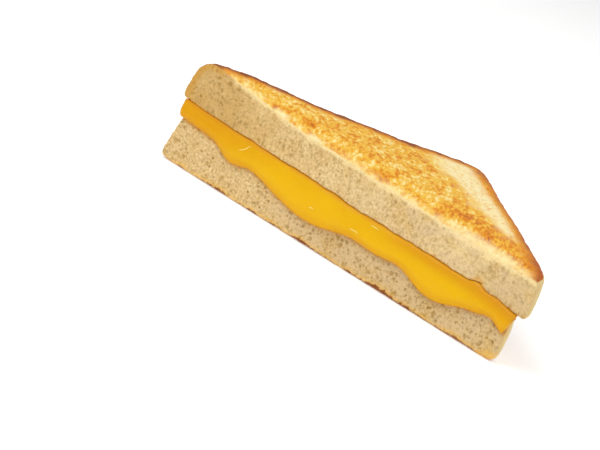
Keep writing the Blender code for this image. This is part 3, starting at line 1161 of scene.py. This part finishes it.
@dataclass
class CheeseThreadsAndGlints:
    """Thin pale curls of cheese on the melted edge, and short pale strands that are painted highlights,
    given as runs of X and Z in millimetres.
    """

    runs: tuple[tuple[tuple[float, float], ...], ...] = (
        ((-48.4, 17.8), (-47.1, 18.6), (-46.1, 19.4), (-45.6, 20.5), (-44.9, 21.0)),
        # This run and the two after it are painted highlights: short pale strands where the melted surface
        # glints.
        ((7.0, 14.6), (8.6, 14.9), (10.4, 14.7)),
        ((13.6, 19.3), (15.2, 19.6), (17.0, 19.2)),
        ((-11.6, 13.5), (-10.8, 13.9), (-10.0, 13.6)),
    )
    radius: float = 0.2 * MM
    before_y: float = -0.2

    def build(self, cheese: Object) -> Object:
        """Lays the curls and the painted highlights on the front of the cheese.

        Args:
            cheese: The dressed cheese.

        Returns:
            The curls and the painted highlights, as one mesh.
        """
        tree = BVHTree.FromObject(cheese, bpy.context.evaluated_depsgraph_get())
        curve = bpy.data.curves.new("cheese_threads", "CURVE")
        curve.dimensions = "3D"
        curve.bevel_depth = self.radius
        curve.bevel_resolution = 2
        curve.use_fill_caps = True
        curve.resolution_u = 6
        for run in self.runs:
            spline = curve.splines.new("NURBS")
            spline.points.add(len(run) - 1)
            spline.use_endpoint_u = True
            spline.order_u = 3
            for index, (point, (x, z)) in enumerate(zip(spline.points, run)):
                hit = tree.ray_cast(Vector((x * MM, self.before_y, z * MM)), Vector((0, 1, 0)))[0]
                y = hit.y if hit else CUT_PLANE_Y * MM
                point.co = (x * MM, y - 0.3 * self.radius, z * MM, 1)
                point.radius = 1.2 * math.sin(math.pi * (index + 0.5) / len(run)) ** 0.7
        rough = placed("cheese_threads_curve", curve)
        bpy.context.view_layer.update()
        mesh = bpy.data.meshes.new_from_object(rough.evaluated_get(bpy.context.evaluated_depsgraph_get()))
        bpy.data.objects.remove(rough)
        mesh.name = "cheese_threads"
        mesh.materials.clear()
        # One pale material for the curls and the painted highlights.
        pale = CheeseFinish("pale_cheese", tint(255, 226, 130), tint(250, 214, 110), tint(250, 214, 110))
        mesh.materials.append(pale.build())
        mesh.shade_smooth()
        piece = placed("cheese_threads", mesh)
        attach(piece, "root")
        return piece


def dress(piece: Object, node: str) -> None:
    """Makes a piece stand for its CAD node.

    Args:
        piece: The finished piece.
        node: The CAD node.
    """
    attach(piece, "root")
    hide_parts(node)
    log.info("%s: %d points stand for %s", piece.name, len(piece.data.vertices), node)


@dataclass
class Table:
    """A wide plain surface that runs out of sight."""

    half_size: float = 6.0
    drop: float = 0.0001
    finish: TableFinish = field(default_factory=TableFinish)

    def build(self) -> Object:
        """Makes the surface just under the part.

        Returns:
            The surface, which is only staging.
        """
        bm = bmesh.new()
        bmesh.ops.create_grid(bm, x_segments=1, y_segments=1, size=self.half_size)
        bmesh.ops.translate(bm, verts=bm.verts, vec=(0, 0, -self.drop))
        mesh = bpy.data.meshes.new("table")
        bm.to_mesh(mesh)
        bm.free()
        mesh.materials.append(self.finish.build())
        piece = placed("table", mesh)
        return piece


@dataclass
class SoftBox:
    """A square lamp that looks at the food."""

    name: str
    azimuth: float
    elevation: float
    distance: float
    size: float
    power: float
    colour: tuple[float, float, float] = (1.0, 1.0, 1.0)

    def build(self) -> Object:
        """Makes the lamp.

        Returns:
            The lamp.
        """
        light = bpy.data.lights.new(self.name, "AREA")
        light.shape = "SQUARE"
        light.size = self.size
        light.energy = self.power
        light.color = self.colour
        lamp = placed(self.name, light)
        away = direction(self.azimuth, self.elevation)
        lamp.location = away * self.distance
        lamp.rotation_euler = away.to_track_quat("Z", "Y").to_euler()
        return lamp


@dataclass
class Studio:
    """Even white light with one brighter side."""

    sky: float = 0.5
    # After its name each lamp has its azimuth, elevation, distance, size and power.
    lamps: tuple[SoftBox, ...] = (
        SoftBox("key", -20, 55, 0.9, 0.5, 3.8, (1.0, 0.98, 0.94)),
        SoftBox("fill", 70, 25, 1.0, 0.6, 1.4),
        SoftBox("back", 170, 40, 1.0, 0.6, 1.8),
    )

    def build(self) -> None:
        """Makes the sky and the lamps."""
        world = bpy.data.worlds.new("studio")
        world.use_nodes = True
        sky = world.node_tree.nodes["Background"]
        sky.inputs["Color"].default_value = (1, 1, 1, 1)
        sky.inputs["Strength"].default_value = self.sky
        scene = bpy.context.scene
        scene.world = world
        scene.view_settings.view_transform = "Standard"
        scene.view_settings.look = "None"
        for lamp in self.lamps:
            lamp.build()


def direction(azimuth: float, elevation: float) -> Vector:
    """The way from the food to a viewer: azimuth 0 stands before the cut face, 90 at its right end.

    Args:
        azimuth: Degrees round the food.
        elevation: Degrees above the table.

    Returns:
        A unit vector.
    """
    turn, rise = math.radians(azimuth), math.radians(elevation)
    return Vector((math.sin(turn) * math.cos(rise), -math.cos(turn) * math.cos(rise), math.sin(rise)))


@dataclass
class PictureCamera:
    """The camera of the picture, turned about its own axis so that the half lies aslant in the frame."""

    place: tuple[float, float, float] = (0.425258, -0.783570, 0.213427)
    azimuth: float = 30.55
    elevation: float = 13.54
    roll: float = -24.04
    lens: float = 150.0
    sensor: float = 36.0
    clip: tuple[float, float] = (0.05, 30.0)

    def build(self) -> Object:
        """Makes the camera and hands it to the scene.

        Returns:
            The camera.
        """
        data = bpy.data.cameras.new("picture")
        data.lens = self.lens
        data.sensor_width = self.sensor
        data.clip_start, data.clip_end = self.clip
        back = direction(self.azimuth, self.elevation)
        turn = math.radians(self.azimuth)
        right = Vector((math.cos(turn), math.sin(turn), 0))
        up = back.cross(right)
        roll = math.radians(self.roll)
        tilted_up = up * math.cos(roll) + right * math.sin(roll)
        tilted_right = tilted_up.cross(back)
        camera = placed("picture", data)
        axes = Matrix((tilted_right, tilted_up, back)).transposed().to_4x4()
        camera.matrix_world = Matrix.Translation(self.place) @ axes
        bpy.context.scene.camera = camera
        return camera


def main() -> None:
    """Builds the picture: camera and light, then the cheese, the bread and what clings to them."""
    logging.basicConfig(level=logging.INFO, format="%(message)s")
    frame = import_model()
    PictureCamera().build()
    Studio().build()
    Table().build()
    cheese = CheeseLayer().build(frame)
    upper = BreadSlice(
        "bread_top",
        BreadFinish("upper_bread", Side.UPPER),
        BreadRelief(
            Side.UPPER,
            corner_radius=8.0,
            middle_x=0.185,
            middle_y=CUT_PLANE_Y + 1.2,
            edge_radius=(5.0, 2.6),
            corner_fill=1.3,
        ),
    ).build(frame, cheese)
    BreadSlice(
        "bread_bottom",
        BreadFinish("lower_bread", Side.LOWER),
        BreadRelief(
            Side.LOWER,
            corner_radius=12.5,
            middle_x=-1.515,
            middle_y=CUT_PLANE_Y,
            edge_radius=(1.8, 3.0),
        ),
    ).build(frame, cheese)
    crumbs = LooseCrumbs("loose_crumbs", 0.02).build(upper)
    threads_and_glints = CheeseThreadsAndGlints().build(cheese)
    for piece in (crumbs, threads_and_glints):
        log.info("%s: %d points", piece.name, len(piece.data.vertices))


if __name__ == "__main__":
    main()
